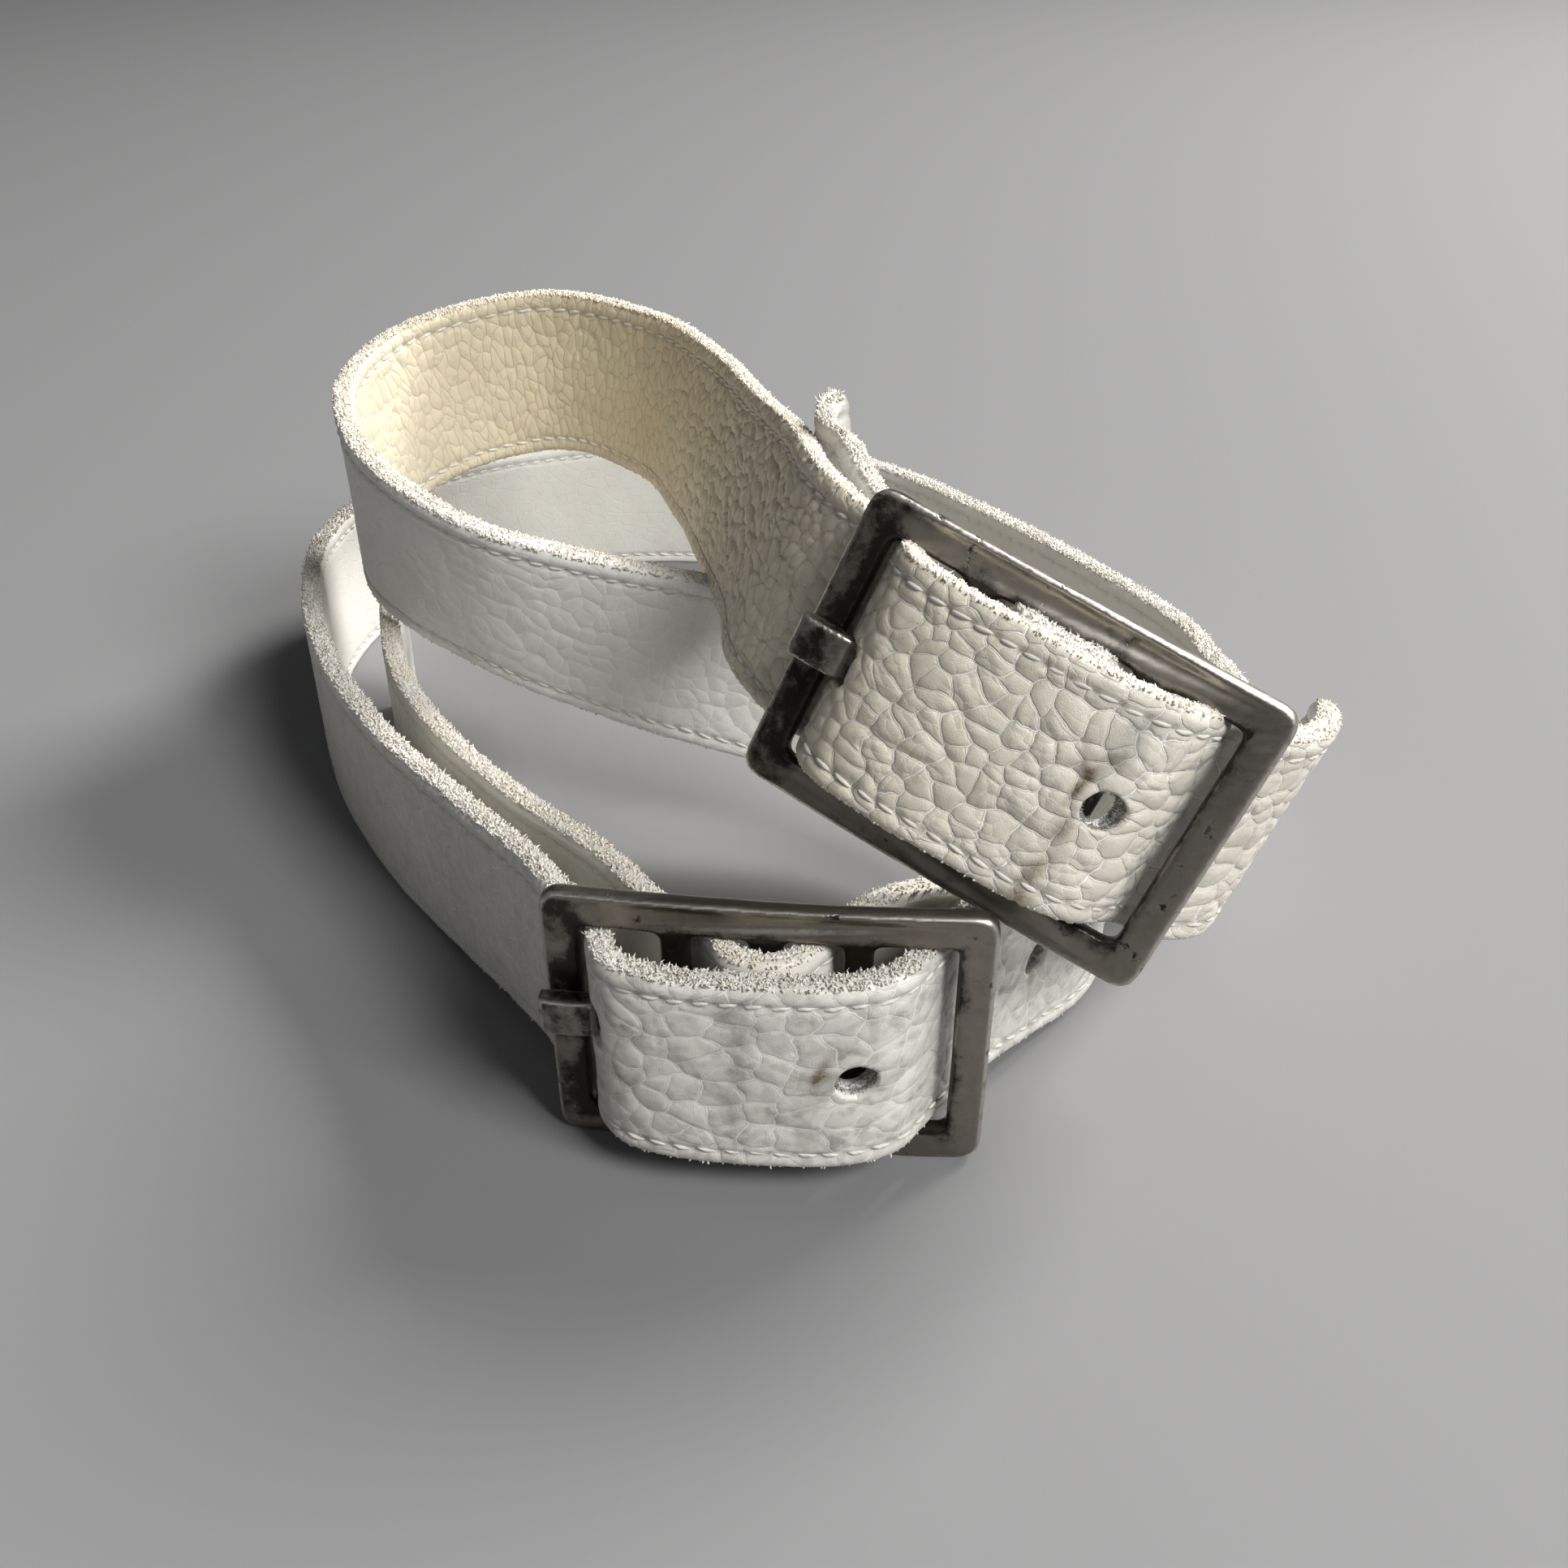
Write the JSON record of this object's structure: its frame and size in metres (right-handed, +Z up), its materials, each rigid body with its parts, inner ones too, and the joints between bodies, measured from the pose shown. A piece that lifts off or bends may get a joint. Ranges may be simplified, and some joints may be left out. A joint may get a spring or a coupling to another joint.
{
  "type": "double-buckle leather belt",
  "caption": "Lined leather belt laid in a coil, two straps woven through matching rectangular cast buckles with pivoting prongs.",
  "frame": {"origin": "middle of the coiled belt's footprint, on the surface that it lies on", "axes": "+Z up, -Y towards the viewer of the buckles, +X to the viewer's right"},
  "size_m": [0.1764, 0.205, 0.0884],
  "materials": {
    "frame_silver": "antique silver plate over a zinc casting, bright on the worn edges and dark in the hollows",
    "prong_silver": "antique silver plate, brushed and worn bright on its edges",
    "pebbled_leather": "off-white pebbled leather, satin, with raw suede edges",
    "lining_leather": "smooth cream lining leather, matt"
  },
  "bodies": {
    "belt": {"lower_buckle_frame": "frame_silver", "upper_buckle_frame": "frame_silver", "loop_strap_face": "pebbled_leather", "loop_strap_lining": "lining_leather", "ring_strap_face": "pebbled_leather", "ring_strap_lining": "lining_leather"},
    "lower_prong": {"lower_buckle_prong": "prong_silver"},
    "upper_prong": {"upper_buckle_prong": "prong_silver"}
  },
  "joints": [
    {"name": "lower_prong_hinge", "type": "hinge", "parent": "belt", "child": "lower_prong", "pos_m": [0.0066, -0.09214, 0.02462], "axis": [0, 0, 1], "range_deg": [0, 4]},
    {"name": "upper_prong_hinge", "type": "hinge", "parent": "belt", "child": "upper_prong", "pos_m": [0.03715, -0.07993, 0.05987], "axis": [0.4225, 0.1479, 0.8942], "range_deg": [0, 4]}
  ]
}
